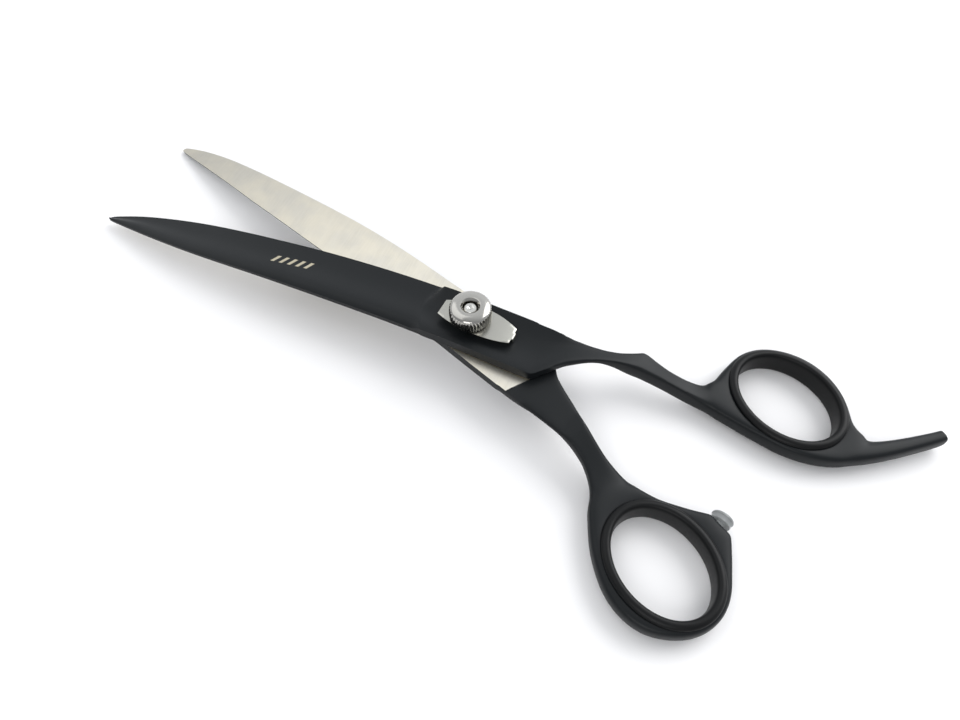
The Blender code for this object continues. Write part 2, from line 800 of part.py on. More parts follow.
def main():
    for old in list(bpy.data.objects):
        bpy.data.objects.remove(old)

    coat = material("black coated steel", 0.028, 0.031, 0.034, 0.38, 0.6)
    thumb_coat = material("black coated steel, thumb half", 0.028, 0.031, 0.034, 0.38, 0.6)
    polished = material("polished stainless steel", 0.60, 0.60, 0.58, 0.14, 1.0)
    knob_steel = material("nickel plated brass", 0.55, 0.55, 0.53, 0.18, 1.0)
    bolt_steel = material("stainless bolt steel", 0.50, 0.50, 0.50, 0.25, 1.0)
    washer_steel = material("spring steel washer", 0.42, 0.42, 0.42, 0.30, 1.0)
    nylon = material("natural nylon", 0.75, 0.74, 0.70, 0.45, 0.0)
    glide = material("acetal", 0.85, 0.85, 0.84, 0.40, 0.0)
    rubber = material("black silicone rubber", 0.020, 0.020, 0.022, 0.32, 0.0)
    thumb_rubber = material("black silicone rubber, thumb", 0.020, 0.020, 0.022, 0.32, 0.0)
    clear = material("translucent soft vinyl", 0.55, 0.55, 0.55, 0.30, 0.0)

    shears = empty("shears", (0, PIVOT_Y, 0), 0)
    make_finger_half(coat, shears)
    make_ring_insert("finger_ring_insert", FINGER_RING_CENTRE, FINGER_RING_TURN, rubber, shears)
    make_pivot_bolt(bolt_steel, shears)
    make_glide_washer(glide, shears)
    make_leaf_plate(polished, shears)
    make_thrust_washer(washer_steel, shears)
    make_tension_knob(knob_steel, shears)

    thumb_pivot = empty("thumb_pivot", (0, 0, 0), -OPENING_DEG, shears)
    make_thumb_half(thumb_coat, thumb_pivot)
    make_ring_insert(
        "thumb_ring_insert", THUMB_RING_CENTRE, THUMB_RING_TURN, thumb_rubber, thumb_pivot
    )
    make_pivot_bush(nylon, thumb_pivot)
    make_bumper(clear, thumb_pivot)


main()
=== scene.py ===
"""Looks of a pair of curved hair cutting shears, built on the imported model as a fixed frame.

Shapes are drawn in millimetres from the pivot axis, each half as it lies when the shears are shut,
with the blade along -X and the ring at +X. put() turns such a point into its place in the frame.
"""

import json
from math import cos, hypot, pi, radians, sin

import bmesh
import bpy
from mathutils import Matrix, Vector


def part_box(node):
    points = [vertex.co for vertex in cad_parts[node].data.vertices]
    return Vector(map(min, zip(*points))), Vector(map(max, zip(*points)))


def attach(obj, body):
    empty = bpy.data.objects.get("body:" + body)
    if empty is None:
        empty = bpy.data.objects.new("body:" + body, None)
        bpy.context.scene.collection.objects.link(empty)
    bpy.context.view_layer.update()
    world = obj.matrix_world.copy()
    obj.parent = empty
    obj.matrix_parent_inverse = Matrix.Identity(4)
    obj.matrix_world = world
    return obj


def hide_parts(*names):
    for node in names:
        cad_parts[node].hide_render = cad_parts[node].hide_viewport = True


bl_info = {
    "name": "Hair Cutting Shears",
    "version": (1, 0, 0),
    "blender": (4, 5, 0),
    "location": "3D View > Sidebar > Shears",
    "description": "Models the looks of curved hair cutting shears on their packed frame",
    "category": "Object",
}

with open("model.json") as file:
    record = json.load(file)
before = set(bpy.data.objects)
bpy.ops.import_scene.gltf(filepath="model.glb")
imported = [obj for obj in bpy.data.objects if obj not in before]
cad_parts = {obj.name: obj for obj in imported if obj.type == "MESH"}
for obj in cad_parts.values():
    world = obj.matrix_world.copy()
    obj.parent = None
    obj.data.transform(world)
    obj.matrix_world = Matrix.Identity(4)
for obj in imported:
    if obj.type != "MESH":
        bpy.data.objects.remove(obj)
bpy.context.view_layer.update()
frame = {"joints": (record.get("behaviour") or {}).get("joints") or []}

MM = 0.001
FINGER_BODY = "finger_half_body"
THUMB_BODY = "thumb_half_body"
WASHER_BODY = "thrust_washer_body"
KNOB_BODY = "tension_knob_body"

# Places and heights that the frame gives, in millimetres and degrees
PIVOT = next(joint for joint in frame["joints"] if joint["name"] == "blade_pivot")
PIVOT_X, PIVOT_Y, CONTACT_Z = (value / MM for value in PIVOT["pos_m"])
OPENING = PIVOT["range_deg"][1]
INSERT_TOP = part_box("finger_ring_insert")[1].z / MM
KNOB_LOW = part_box("tension_knob")[0].z / MM
KNOB_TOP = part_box("tension_knob")[1].z / MM
BOLT_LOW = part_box("pivot_bolt")[0].z / MM
BOLT_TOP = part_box("pivot_bolt")[1].z / MM
FLAT_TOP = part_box("finger_half")[1].z / MM
FLAT_BOTTOM = 2 * CONTACT_Z - FLAT_TOP

# Fits shared by neighbouring pieces
GAP = 0.3
SEAT = 0.25
INSERT_WALL = 1.0
INSERT_LIP = 2.3
LIP_THICKNESS = 0.75
LIP_GAP = 0.06
WEB_BOTTOM = LIP_THICKNESS + SEAT
WEB_TOP = INSERT_TOP - LIP_THICKNESS - SEAT
WEB_THICKNESS = WEB_TOP - WEB_BOTTOM
HOLE_LENGTH = 25.2
HOLE_WIDTH = 19.5

# Blades and ricasso
BLADE_REACH = 114.0
BLADE_DROP = 9.0
DROP_START = 12.0
TIP_THICKNESS = 1.1
EDGE_THICKNESS = 0.3
HOLLOW_GRIND = 0.12
SPINE_BEVEL = 1.9
SPINE_EDGE_SHARE = 0.16  # height of the spine's outer edge, of the thickness
BLADE_STATIONS = 25
STATION_SPACING = 0.92  # under 1 sets the stations closer together towards the tip
RICASSO_THICKNESS = FLAT_TOP - CONTACT_Z - GAP / 2
HEEL_X = -10.0
HEEL_START = HEEL_X - 0.9
HEEL_END = HEEL_X - 0.2
FACET_START = HEEL_X - 2.4
LEAN_START = HEEL_X - 14
HEEL_LEAN = 3.6  # how far the facet leans from the heel towards the tip
RIDE_END_X = 19.0
RIDE_RELIEF = 0.25
RELIEF_LENGTH = 0.8

# Shanks and rings
SOFT_START, SOFT_END = 12, 34  # the flat ricasso turns into the rounded shank between these x
CREASE_START, CREASE_END = 14, 30  # and its sharp edges fade between these
LEAST_CREASE = 0.55
FLAT_ANGLE = 9.0
EDGE_ROUND = 0.7
RICASSO_INSET = 0.45
SHANK_INSET = 0.16
RIM_INSET = 0.8
RIM_SHARE = 0.36
RIM_DROP = 1.05
REST_COLUMNS = ((0.0, 0.8), (0.22, 0.0), (0.78, 0.0), (1.0, 0.8))  # share across, and rim drop
SMOOTHING = 2
SMOOTH_ANGLE = 40.0

# Pivot: bolt, washers, leaf plate and tension knob
TURNED_SEGMENTS = 64
NO_FLAT = 1e3
BOLT_RADIUS = 2.0
BOLT_FLAT = 1.6
BOLT_HEAD_RADIUS = 4.2
BOLT_HEAD_HEIGHT = 1.3
THREAD_RADIUS = 1.7
THREAD_PITCH = 0.5
THREAD_DEPTH = 0.14
BUSH_RADIUS = BOLT_RADIUS + GAP + 0.55
BUSH_FLANGE_RADIUS = 4.1
GLIDE_RADIUS = 4.3
FLANGE_THICKNESS = 0.5
LEAF_LOW = FLAT_TOP + SEAT
LEAF_THICKNESS = 0.45
LEAF_BOW = 0.5
LEAF_BACK = -7.8
LEAF_FRONT = 11.5
LEAF_TURN = -4.5
LEAF_SHIFT = -0.25
LEAF_HALF_WIDTH = 4.05
LEAF_END_HALF_WIDTH = 2.25
TAB_HALF_WIDTH = 0.95
TAB_DEPTH = 0.9
SLOT_LENGTH = 1.7
SLOT_SIDE_GAP = 0.35
THRUST_RADIUS = 3.6
THRUST_THICKNESS = 0.4
KNOB_RADIUS = 5.2
KNOB_SHOULDER = 2.2
KNURL_TOP = KNOB_TOP - 1.25
KNURL_DEPTH = 0.28
KNURL_RUNOUT = (0, 0, 0, 0, 0, 0, 0, 0.04, 0.14, 0.22, 0.26)

# Bumper on the thumb half's boss
BUMPER_CENTRE = (73.2, -2.6)
BUMPER_PROUD = 1.95
STEM_RADIUS = 1.1
STEM_HOLE_DEPTH = 3.65

# Studio: lights as place and size in metres, and watts; the camera's place in millimetres
LIGHTS = (
    ("window light", (0.55, 0.75, 0.75), 0.9, 9.5),
    ("fill light", (-0.7, 0.1, 0.9), 1.0, 2.5),
    ("front card", (0.05, -0.45, 0.42), 0.3, 0.9),
)
SKY_RANGE = {"From Min": -0.35, "From Max": 0.8, "To Min": 0.55, "To Max": 1.3}
CAMERA_PLACE = (43.44, -97.52, 162.0)
CAMERA_TILT = 32.5
CAMERA_TURN = 22.78
CAMERA_LENS = 28.125


# ---- Curves ----------------------------------------------------------------------------


def mix(a, b, share):
    return a + (b - a) * share


def smoothstep(value, start, end):
    share = min(1.0, max(0.0, (value - start) / (end - start)))
    return share * share * (3 - 2 * share)


def along(table, x):
    """The row of a table at x, straight between its rows."""
    for low, high in zip(table, table[1:]):
        if x <= high[0]:
            share = max(0.0, (x - low[0]) / (high[0] - low[0]))
            return [mix(a, b, share) for a, b in zip(low[1:], high[1:])]
    return list(table[-1][1:])


def rounded_path(points, steps):
    """An open Catmull-Rom curve through the points, both ends included."""
    ends = [points[0]] + list(points) + [points[-1]]
    path = []
    for before, start, end, after in zip(ends, ends[1:], ends[2:], ends[3:]):
        for step in range(steps):
            t = step / steps
            spot = []
            for a, b, c, d in zip(before, start, end, after):
                square, cube = 2 * a - 5 * b + 4 * c - d, 3 * b - a - 3 * c + d
                spot.append(0.5 * (2 * b + (c - a) * t + square * t**2 + cube * t**3))
            path.append(tuple(spot))
    return path + [tuple(points[-1])]


class Half:
    """The outline of one half: its ring, and the +Y and -Y sides of its ricasso and shank."""

    def __init__(self, name, side, centre, turn, ramp, step, ride_end, ring, joins, sides, blade):
        self.name = name
        self.side = side  # +1 where the cutting edge faces +Y and the body lies above
        self.centre = centre
        self.turn = turn
        self.ramp = ramp  # the shank slopes down to the ring between these x
        self.step = step  # the shank comes to reach across the contact plane between these x
        self.ride_end = ride_end  # x where the ground face ends on the -Y side, and its slant
        self.ring = ring  # arcs of (direction, metal beyond the hole), edge side of the shank first
        self.joins = joins  # points between the arcs' ends where a strip is drawn out of the rim
        self.sides = sides
        self.blade = rounded_path(blade, 4)  # x, cutting edge and spine, from the tip to the heel


FINGER = Half(
    name="finger_half",
    side=1,
    centre=(77.1, 12.9),
    turn=-25.0,
    ramp=(20.0, 65.0),
    step=(29.5, 41.0),
    ride_end=(RIDE_END_X, 0.0),
    ring=[
        [
            (190.4, 8.1),
            (185.6, 6.1),
            (177.5, 4.7),
            (163.0, 3.4),
            (149.8, 3.2),
            (136.7, 3.3),
            (123.0, 3.4),
            (106.0, 3.5),
            (85.0, 3.6),
            (64.3, 3.6),
            (43.0, 3.5),
            (24.3, 3.3),
            (9.0, 3.2),
            (-1.6, 3.7),
            (-7.4, 5.2),
            (-10.0, 7.2),
        ],
        [
            (-35.0, 7.0),
            (-43.2, 5.9),
            (-54.0, 4.8),
            (-68.5, 3.9),
            (-86.3, 3.4),
            (-107.6, 3.5),
            (-128.0, 4.8),
            (-140.0, 6.4),
            (-147.0, 8.0),
        ],
    ],
    joins=[(0.34, 0.7), (0.3, 0.7)],
    sides=[
        (-6.0, 6.8, -7.6),
        (3.0, 6.1, -8.1),
        (12.0, 5.6, -8.7),
        (18.6, 5.2, -9.1),
        (19.4, 5.2, -8.8),
        (21.0, 5.0, -7.2),
        (25.0, 4.9, -3.2),
        (29.5, 5.0, -0.1),
        (33.0, 5.6, 1.9),
        (36.5, 6.9, 3.3),
        (39.5, 8.7, 4.0),
        (41.6, 10.2, 4.3),
        (42.6, 10.3, 4.4),
        (45.5, 9.4, 4.5),
        (49.0, 8.6, 4.5),
        (53.0, 8.3, 4.2),
        (56.0, 8.5, 3.9),
    ],
    blade=[
        (-112.8, 0.65, -0.75),
        (-105.0, 2.7, -2.0),
        (-98.2, 3.9, -3.0),
        (-89.0, 5.1, -4.1),
        (-80.1, 5.9, -4.9),
        (-69.6, 6.5, -5.5),
        (-57.7, 7.0, -5.95),
        (-45.2, 7.5, -6.4),
        (-30.1, 7.8, -6.85),
        (-20.0, 7.85, -7.1),
        (-10.0, 7.75, -7.45),
    ],
)
REST_STRIP = [
    ((99.2, 10.5), (97.6, 4.1)),
    ((103.2, 12.8), (102.6, 7.4)),
    ((107.4, 15.6), (107.6, 11.3)),
    ((110.4, 17.7), (112.0, 14.8)),
    ((111.5, 18.55), (113.6, 16.3)),
    ((111.75, 18.75), (113.9, 16.65)),
]
THUMB = Half(
    name="thumb_half",
    side=-1,
    centre=(68.3, -18.7),
    turn=-18.0,
    ramp=(28.0, 55.0),
    step=(34.5, 38.0),
    ride_end=(RIDE_END_X - 1.0, 0.4),
    ring=[
        [
            (177.0, 7.6),
            (191.0, 5.4),
            (208.0, 4.4),
            (226.0, 4.1),
            (247.0, 4.4),
            (270.0, 4.6),
            (289.0, 4.4),
            (305.0, 3.8),
            (321.0, 3.4),
            (339.0, 3.2),
            (358.0, 3.4),
            (376.5, 3.7),
            (391.0, 4.1),
            (406.0, 5.3),
            (415.0, 6.4),
            (420.6, 7.2),
        ],
        [
            (424.0, 7.15),
            (431.0, 6.75),
            (437.6, 6.7),
            (441.6, 6.7),
            (447.0, 5.8),
            (456.0, 4.6),
            (470.0, 3.6),
            (485.0, 3.4),
            (497.0, 4.9),
            (504.0, 6.8),
        ],
    ],
    joins=[(), (0.3, 0.7)],
    sides=[
        (-6.0, 7.2, -7.7),
        (3.0, 7.6, -8.3),
        (12.0, 8.1, -8.8),
        (18.6, 8.4, -9.2),
        (19.4, 8.0, -9.2),
        (21.0, 6.2, -9.25),
        (25.0, 2.2, -9.35),
        (29.0, 0.2, -9.5),
        (33.0, -1.7, -9.7),
        (37.8, -4.2, -10.2),
        (42.0, -5.7, -11.3),
        (45.0, -6.6, -13.1),
        (47.5, -7.1, -15.4),
    ],
    blade=[
        (-115.8, -0.75, 0.85),
        (-108.3, -1.5, 3.1),
        (-98.2, -2.3, 4.65),
        (-87.0, -3.2, 5.5),
        (-76.2, -4.1, 6.1),
        (-62.9, -4.85, 6.8),
        (-48.5, -5.6, 7.55),
        (-36.0, -5.9, 7.85),
        (-23.0, -6.0, 7.7),
        (-10.0, -6.0, 7.3),
    ],
)


# ---- Places ----------------------------------------------------------------------------


def put(x, y, z, side=1):
    """A point of the finger half, or where side is -1 of the shut thumb half, in the frame."""
    turn = radians(OPENING) if side < 0 else 0.0
    turned_x = x * cos(turn) + y * sin(turn)
    turned_y = y * cos(turn) - x * sin(turn)
    return Vector((turned_x + PIVOT_X, turned_y + PIVOT_Y, z)) * MM


def beyond_hole(centre, turn, direction, metal):
    """The point that lies a given width of metal beyond a ring's hole."""
    angle = radians(direction - turn)
    reach = metal + 1 / hypot(2 * cos(angle) / HOLE_LENGTH, 2 * sin(angle) / HOLE_WIDTH)
    way = radians(direction)
    return (centre[0] + reach * cos(way), centre[1] + reach * sin(way))


def round_hole(centre, turn, step, count, margin):
    """A point round a ring's hole, moved out by margin."""
    angle = 2 * pi * step / count
    u = (HOLE_LENGTH / 2 + margin) * cos(angle)
    v = (HOLE_WIDTH / 2 + margin) * sin(angle)
    turn = radians(turn)
    return (centre[0] + u * cos(turn) - v * sin(turn), centre[1] + u * sin(turn) + v * cos(turn))


# ---- Work at the mesh ------------------------------------------------------------------


def start(name, add, **settings):
    """Adds a primitive with nothing else selected, opens it in edit mode and returns it."""
    bpy.ops.object.select_all(action="DESELECT")
    add(**settings)
    piece = bpy.context.active_object
    piece.name = name
    piece.data.name = name
    bpy.ops.object.transform_apply(location=True, rotation=True, scale=True)
    bpy.ops.object.mode_set(mode="EDIT")
    return piece


def cage(piece):
    """The piece's mesh in edit mode, ready to index."""
    shape = bmesh.from_edit_mesh(piece.data)
    shape.verts.ensure_lookup_table()
    shape.edges.ensure_lookup_table()
    shape.faces.ensure_lookup_table()
    return shape


def draw_out(piece, chain, places, closed=False):
    """Extrudes the edges along a chain, or a closed loop, and puts the new vertices at places."""
    shape = cage(piece)
    for part in (*shape.faces, *shape.edges, *shape.verts):
        part.select = False
    members = [shape.verts[i] for i in chain]
    following = members[1:] + members[:1] if closed else members[1:]
    for first, second in zip(members, following):
        edge = next(e for e in first.link_edges if e.other_vert(first) == second)
        edge.select_set(True)
    bmesh.update_edit_mesh(piece.data)
    bpy.ops.mesh.extrude_edges_indiv()
    shape = cage(piece)
    shape.verts.index_update()
    new = []
    for i, place in zip(chain, places):
        vert = shape.verts[i]
        copy = next(e.other_vert(vert) for e in vert.link_edges if e.other_vert(vert).select)
        copy.co = place
        new.append(copy.index)
    bmesh.update_edit_mesh(piece.data)
    return new


def close_solid():
    """Joins the ends of the open piece in edit mode, turns its faces outward and leaves it."""
    bpy.ops.mesh.select_all(action="SELECT")
    bpy.ops.mesh.remove_doubles(threshold=0.000001)
    bpy.ops.mesh.normals_make_consistent(inside=False)
    bpy.ops.object.mode_set(mode="OBJECT")


def apply_modifier(piece, kind, **settings):
    bpy.context.view_layer.objects.active = piece
    modifier = piece.modifiers.new(kind.lower(), kind)
    for key, value in settings.items():
        setattr(modifier, key, value)
    bpy.ops.object.modifier_apply(modifier=modifier.name)


def shade_smooth(piece, angle):
    bpy.ops.object.select_all(action="DESELECT")
    piece.select_set(True)
    bpy.ops.object.shade_smooth_by_angle(angle=radians(angle))


def subdivide_smooth(piece):
    apply_modifier(piece, "SUBSURF", levels=SMOOTHING, render_levels=SMOOTHING)
    shade_smooth(piece, SMOOTH_ANGLE)


def finish_piece(piece, body, nodes, materials):
    """Gives a piece its materials and its body, and hides the nodes that it stands for."""
    for material in materials:
        piece.data.materials.append(material)
    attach(piece, body)
    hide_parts(*nodes)
    return piece


# ---- Materials -------------------------------------------------------------------------


def from_hex(code):
    """An sRGB hex colour as linear red, green, blue and alpha."""
    channels = [int(code[i : i + 2], 16) / 255 for i in (1, 3, 5)]
    linear = [c / 12.92 if c <= 0.04045 else ((c + 0.055) / 1.055) ** 2.4 for c in channels]
    return (*linear, 1.0)


def add_node(material, kind, settings=None, inputs=None):
    """Adds a node, sets its properties, and sets or links its inputs."""
    tree = material.node_tree
    node = tree.nodes.new(kind)
    for key, value in (settings or {}).items():
        setattr(node, key, value)
    for key, value in (inputs or {}).items():
        if isinstance(value, bpy.types.NodeSocket):
            tree.links.new(value, node.inputs[key])
        else:
            node.inputs[key].default_value = value
    return node


def new_material(name, colour, roughness, metallic=0.0):
    """A material and its Principled node."""
    made = bpy.data.materials.new(name)
    made.use_nodes = True
    shader = made.node_tree.nodes["Principled BSDF"]
    shader.inputs["Base Color"].default_value = colour
    shader.inputs["Roughness"].default_value = roughness
    shader.inputs["Metallic"].default_value = metallic
    return made, shader


def link(material, output, target):
    material.node_tree.links.new(output, target)


def object_place(material):
    return add_node(material, "ShaderNodeTexCoord").outputs["Object"]


def noise(material, place, grain, detail, distortion=0.0):
    """Noise whose patches are about grain millimetres across."""
    scale = 1 / (grain * MM)
    inputs = {"Vector": place, "Scale": scale, "Detail": detail, "Distortion": distortion}
    return add_node(material, "ShaderNodeTexNoise", inputs=inputs).outputs["Fac"]


def spread(material, value, low, high, start=0.0, end=1.0):
    """Maps a value between start and end onto low to high."""
    inputs = {"Value": value, "From Min": start, "From Max": end, "To Min": low, "To Max": high}
    return add_node(material, "ShaderNodeMapRange", inputs=inputs).outputs["Result"]


def blend(material, factor, first, second):
    inputs = {"Factor": factor, "A": first, "B": second}
    return add_node(material, "ShaderNodeMix", {"data_type": "RGBA"}, inputs).outputs["Result"]


def emboss(material, shader, height, strength, depth):
    """Raises the surface with a height, by depth in millimetres at full strength."""
    inputs = {"Height": height, "Strength": strength, "Distance": depth * MM}
    bump = add_node(material, "ShaderNodeBump", inputs=inputs)
    link(material, bump.outputs["Normal"], shader.inputs["Normal"])


def satin_black_coat(name, colour):
    """Baked satin black coating on forged steel: nearly smooth, its orange peel softens lights."""
    made, shader = new_material(name, colour, 0.42)
    shader.inputs["Specular IOR Level"].default_value = 0.2
    place = object_place(made)
    emboss(made, shader, noise(made, place, 0.9, 3.0), 0.12, 0.05)
    gloss = spread(made, noise(made, place, 14, 4.0), 0.36, 0.48, 0.3, 0.7)
    link(made, gloss, shader.inputs["Roughness"])
    return made


def etch_strokes(made):
    """Etched strokes on the blade: slanted bars where the coating is off and dull steel shows."""
    shader = made.node_tree.nodes["Principled BSDF"]
    coating = shader.inputs["Base Color"].default_value
    inputs = {
        "Vector": object_place(made),
        "Location": put(-51.8, 0.9, 0),
        "Rotation": (0, 0, radians(4.4)),
        "Scale": (MM, MM, MM),
    }
    flat = add_node(made, "ShaderNodeMapping", {"vector_type": "TEXTURE"}, inputs)
    axes = add_node(
        made, "ShaderNodeSeparateXYZ", inputs={"Vector": flat.outputs["Vector"]}
    ).outputs

    def math(operation, first, second=0.0, third=0.0):
        inputs = {0: first, 1: second, 2: third}
        node = add_node(made, "ShaderNodeMath", {"operation": operation}, inputs)
        return node.outputs["Value"]

    pitch, bar_share, half_length, half_height = 2.4, 0.4, 6.0, 1.2
    slanted = math("MULTIPLY_ADD", axes["Y"], -0.5, axes["X"])
    bar = math("LESS_THAN", math("FRACT", math("DIVIDE", slanted, pitch)), bar_share)
    length = math("LESS_THAN", math("ABSOLUTE", slanted), half_length)
    height = math("LESS_THAN", math("ABSOLUTE", axes["Y"]), half_height)
    mask = math("MULTIPLY", math("MULTIPLY", bar, length), height)
    link(made, blend(made, mask, coating, from_hex("#b5ad97")), shader.inputs["Base Color"])
    link(made, math("MULTIPLY", mask, 0.6), shader.inputs["Metallic"])
    return made


def ground_steel(name, half):
    """Stainless steel ground across the blade: faint lines, a warm mottled sheen, and painted shade
    that darkens it towards the tip.
    """
    made, shader = new_material(name, from_hex("#d9d4c6"), 0.36, 1.0)
    place = object_place(made)
    inputs = {
        "Vector": place,
        "Rotation": (0, 0, radians(OPENING) if half.side < 0 else 0.0),
        "Scale": (1 / (0.3 * MM), 1 / (6 * MM), 1 / (6 * MM)),
    }
    mapping = add_node(made, "ShaderNodeMapping", {"vector_type": "POINT"}, inputs)
    inputs = {"Vector": mapping.outputs["Vector"], "Scale": 1.0, "Detail": 4.0}
    lines = add_node(made, "ShaderNodeTexNoise", inputs=inputs).outputs["Fac"]
    mottle = spread(made, noise(made, place, 7, 6.0), 0.0, 0.35, 0.36, 0.64)
    streaks = blend(made, lines, from_hex("#cac5b8"), from_hex("#dedad0"))
    sheen = blend(made, mottle, streaks, from_hex("#f3ead2"))
    axes = add_node(made, "ShaderNodeSeparateXYZ", inputs={"Vector": place}).outputs
    # painted shade: the base colour is scaled darker towards the tip, brighter towards the pivot
    painted_tip_shade = spread(made, axes["X"], 0.68, 1.0, -105 * MM, -20 * MM)
    inputs = {"Vector": sheen, "Scale": painted_tip_shade}
    toned = add_node(made, "ShaderNodeVectorMath", {"operation": "SCALE"}, inputs)
    link(made, toned.outputs["Vector"], shader.inputs["Base Color"])
    link(made, spread(made, lines, 0.28, 0.44), shader.inputs["Roughness"])
    emboss(made, shader, lines, 0.1, 0.02)
    return made


def silicone_rubber(name, colour):
    """Moulded black silicone rubber: a smooth, soft skin, a little darker than the coating."""
    made, shader = new_material(name, colour, 0.42)
    shader.inputs["Specular IOR Level"].default_value = 0.2
    skin = noise(made, object_place(made), 0.6, 2.0)
    emboss(made, shader, skin, 0.08, 0.04)
    link(made, spread(made, skin, 0.34, 0.46), shader.inputs["Roughness"])
    return made


def polished_steel(name, colour, roughness):
    """Buffed steel or bright plating: a near mirror with faint swirling buff marks."""
    made, shader = new_material(name, from_hex(colour), roughness, 1.0)
    marks = noise(made, object_place(made), 0.5, 5.0, 1.5)
    gloss = spread(made, marks, roughness * 0.85, roughness * 1.2)
    link(made, gloss, shader.inputs["Roughness"])
    return made


def turned_steel(name, colour, roughness):
    """Lathe-turned steel: fine circles round the pivot axis."""
    made, shader = new_material(name, from_hex(colour), roughness, 1.0)
    inputs = {
        "Vector": object_place(made),
        "Location": (-PIVOT_X * MM, -PIVOT_Y * MM, 0),
        "Scale": (1, 1, 0.001),
    }
    centred = add_node(made, "ShaderNodeMapping", {"vector_type": "POINT"}, inputs)
    settings = {"wave_type": "RINGS", "rings_direction": "Z"}
    inputs = {
        "Vector": centred.outputs["Vector"],
        "Scale": 1 / (6 * MM),
        "Distortion": 2.0,
        "Detail": 2.0,
    }
    rings = add_node(made, "ShaderNodeTexWave", settings, inputs)
    emboss(made, shader, rings.outputs["Fac"], 0.1, 0.02)
    return made


def clear_vinyl(name, colour):
    """Soft moulded vinyl, smoky and translucent: light passes in and greys the boss behind it."""
    made, shader = new_material(name, colour, 0.28)
    shader.inputs["Transmission Weight"].default_value = 0.55
    shader.inputs["IOR"].default_value = 1.45
    cloud = noise(made, object_place(made), 1.5, 2.0)
    link(made, blend(made, cloud, from_hex("#9da0a0"), colour), shader.inputs["Base Color"])
    return made


def moulded_plastic(name, colour):
    """Nylon or acetal as moulded: milky, with a faint grain."""
    made, shader = new_material(name, from_hex(colour), 0.45)
    grain = noise(made, object_place(made), 0.3, 2.0)
    link(made, spread(made, grain, 0.38, 0.55), shader.inputs["Roughness"])
    return made


# ---- The two halves --------------------------------------------------------------------


def contact_z(x, y):
    """Height of the plane that the halves share, which bows down towards the tips."""
    if x > 0:
        return CONTACT_Z
    share = max(0.0, (hypot(x, y) - DROP_START) / (BLADE_REACH - DROP_START))
    return CONTACT_Z - BLADE_DROP * share**2


def handle_z(half, x):
    """Bottom and top of a handle, sloping down from the pivot to the ring."""
    top = mix(FLAT_TOP, WEB_TOP, smoothstep(x, *half.ramp))
    return min(FLAT_BOTTOM, top - WEB_THICKNESS), top


def blade_row(half, x):
    """Four points across a blade from cutting edge to spine, each as x, y, inner z and outer z."""
    side = half.side
    edge, spine = along(half.blade, x)
    thickness = mix(RICASSO_THICKNESS, TIP_THICKNESS, smoothstep(-x, -HEEL_X, BLADE_REACH))
    taper = min(1.0, abs(edge - spine) / (3 * SPINE_BEVEL))
    ridge = spine + side * SPINE_BEVEL * taper
    heel = smoothstep(x, HEEL_START, HEEL_END)
    facet = smoothstep(x, FACET_START, HEEL_START)
    edge = mix(edge, along(half.sides, x)[0 if side > 0 else 1], heel)
    lean = HEEL_LEAN * smoothstep(x, LEAN_START, HEEL_START)
    hollow = HOLLOW_GRIND * taper * (1 - heel)

    def point(y, inner, outer, shift=0.0):
        base = contact_z(x - shift, y) + side * GAP / 2
        return (x - shift, y, base + side * inner, base + side * outer)

    edge_height = mix(EDGE_THICKNESS, thickness, heel)
    slope_height = mix((EDGE_THICKNESS + thickness) / 2, thickness, facet)
    return [
        point(edge, 0.0, edge_height),
        point((edge + ridge) / 2, hollow, slope_height, lean),
        point(ridge, 0.0, thickness),
        point(spine, 0.0, thickness * SPINE_EDGE_SHARE),
    ]


def shank_row(half, x):
    """Four points across the ricasso or shank, as blade_row gives them."""
    side = half.side
    high, low = along(half.sides, x)
    edge, spine = (high, low) if side > 0 else (low, high)
    crossing = smoothstep(x, *half.step)
    soft = smoothstep(x, SOFT_START, SOFT_END)
    relief = RIDE_RELIEF * smoothstep(x, RIDE_END_X, RIDE_END_X + RELIEF_LENGTH)
    bottom, top = handle_z(half, x)
    own, outer = (bottom, top) if side > 0 else (top, bottom)
    inner = mix(CONTACT_Z + side * (GAP / 2 + relief), own, crossing)
    width = abs(edge - spine)
    towards_spine = 1 if spine > edge else -1
    edge_inset = mix(RICASSO_INSET * width, SHANK_INSET * width, soft)
    spine_inset = mix(SPINE_BEVEL, SHANK_INSET * width, soft)
    round_in, round_out = EDGE_ROUND * crossing, EDGE_ROUND * soft
    spine_out = mix((1 - SPINE_EDGE_SHARE) * abs(outer - inner), EDGE_ROUND, soft)
    return [
        (x, edge, inner + side * round_in, outer - side * round_out),
        (x, edge + towards_spine * edge_inset, inner, outer),
        (x, spine - towards_spine * spine_inset, inner, outer),
        (x, spine, inner + side * round_in, outer - side * spine_out),
    ]


def ring_point(half, direction, metal, rim):
    """A point of the ring's web as x, y, inner z and outer z, drawn in at a rim to round it."""
    x, y = beyond_hole(half.centre, half.turn, direction, metal)
    bottom, top = handle_z(half, x)
    inner, outer = (bottom, top) if half.side > 0 else (top, bottom)
    return (x, y, inner + half.side * rim, outer - half.side * rim)


def ring_stations(half):
    """Directions and metal widths round the ring, and which of them are inside the metal."""
    stations, inside = [], []
    once_round = 360 if half.side < 0 else -360
    first, second = half.ring
    nexts = (second[0], (first[0][0] + once_round, first[0][1]))
    for arc, join, following in zip(half.ring, half.joins, nexts):
        path = rounded_path(arc, 2)
        stations += path
        inside += [False] * len(path)
        for share in join:
            stations.append(tuple(mix(a, b, share) for a, b in zip(path[-1], following)))
            inside.append(True)
    return stations, inside


